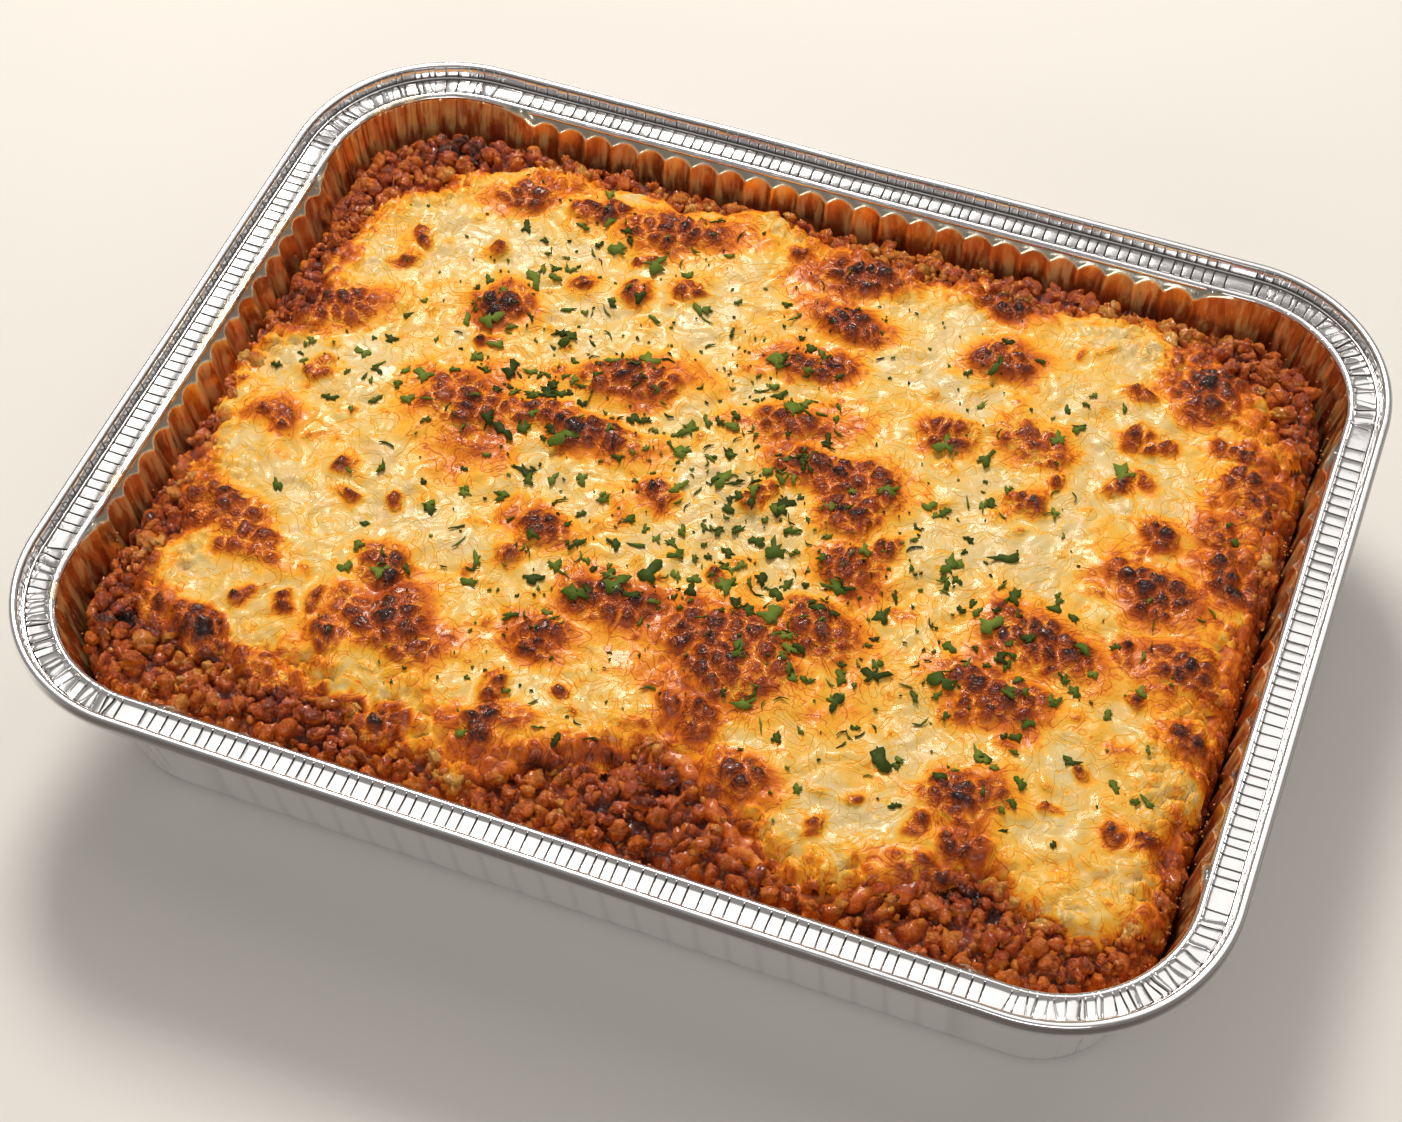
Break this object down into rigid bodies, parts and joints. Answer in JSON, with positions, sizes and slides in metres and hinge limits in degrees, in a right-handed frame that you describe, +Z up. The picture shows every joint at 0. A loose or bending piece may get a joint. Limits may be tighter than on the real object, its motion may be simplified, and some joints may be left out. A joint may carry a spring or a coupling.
{
  "type": "tray-baked lasagne",
  "caption": "Baked lasagne with browned cheese, chopped herbs and a crumbly meat-sauce border, in a deep fluted foil tray with a rolled rim.",
  "frame": {"origin": "middle of the tray's flat base", "axes": "+X along the tray's long side, +Y along its short side, +Z up"},
  "size_m": [0.322, 0.249, 0.063],
  "materials": {
    "foil": "bright pressed foil, finely creased at the corners",
    "meat_sauce": "wet crumbly mince in baked tomato sauce",
    "pasta": "baked pasta, stained orange by the sauce",
    "cheese": "melted cheese with browned blisters and green herb flakes"
  },
  "bodies": {
    "root": {"foil_tray": "foil", "meat_sauce": "meat_sauce", "pasta_sheet": "pasta", "cheese": "cheese"}
  },
  "joints": []
}
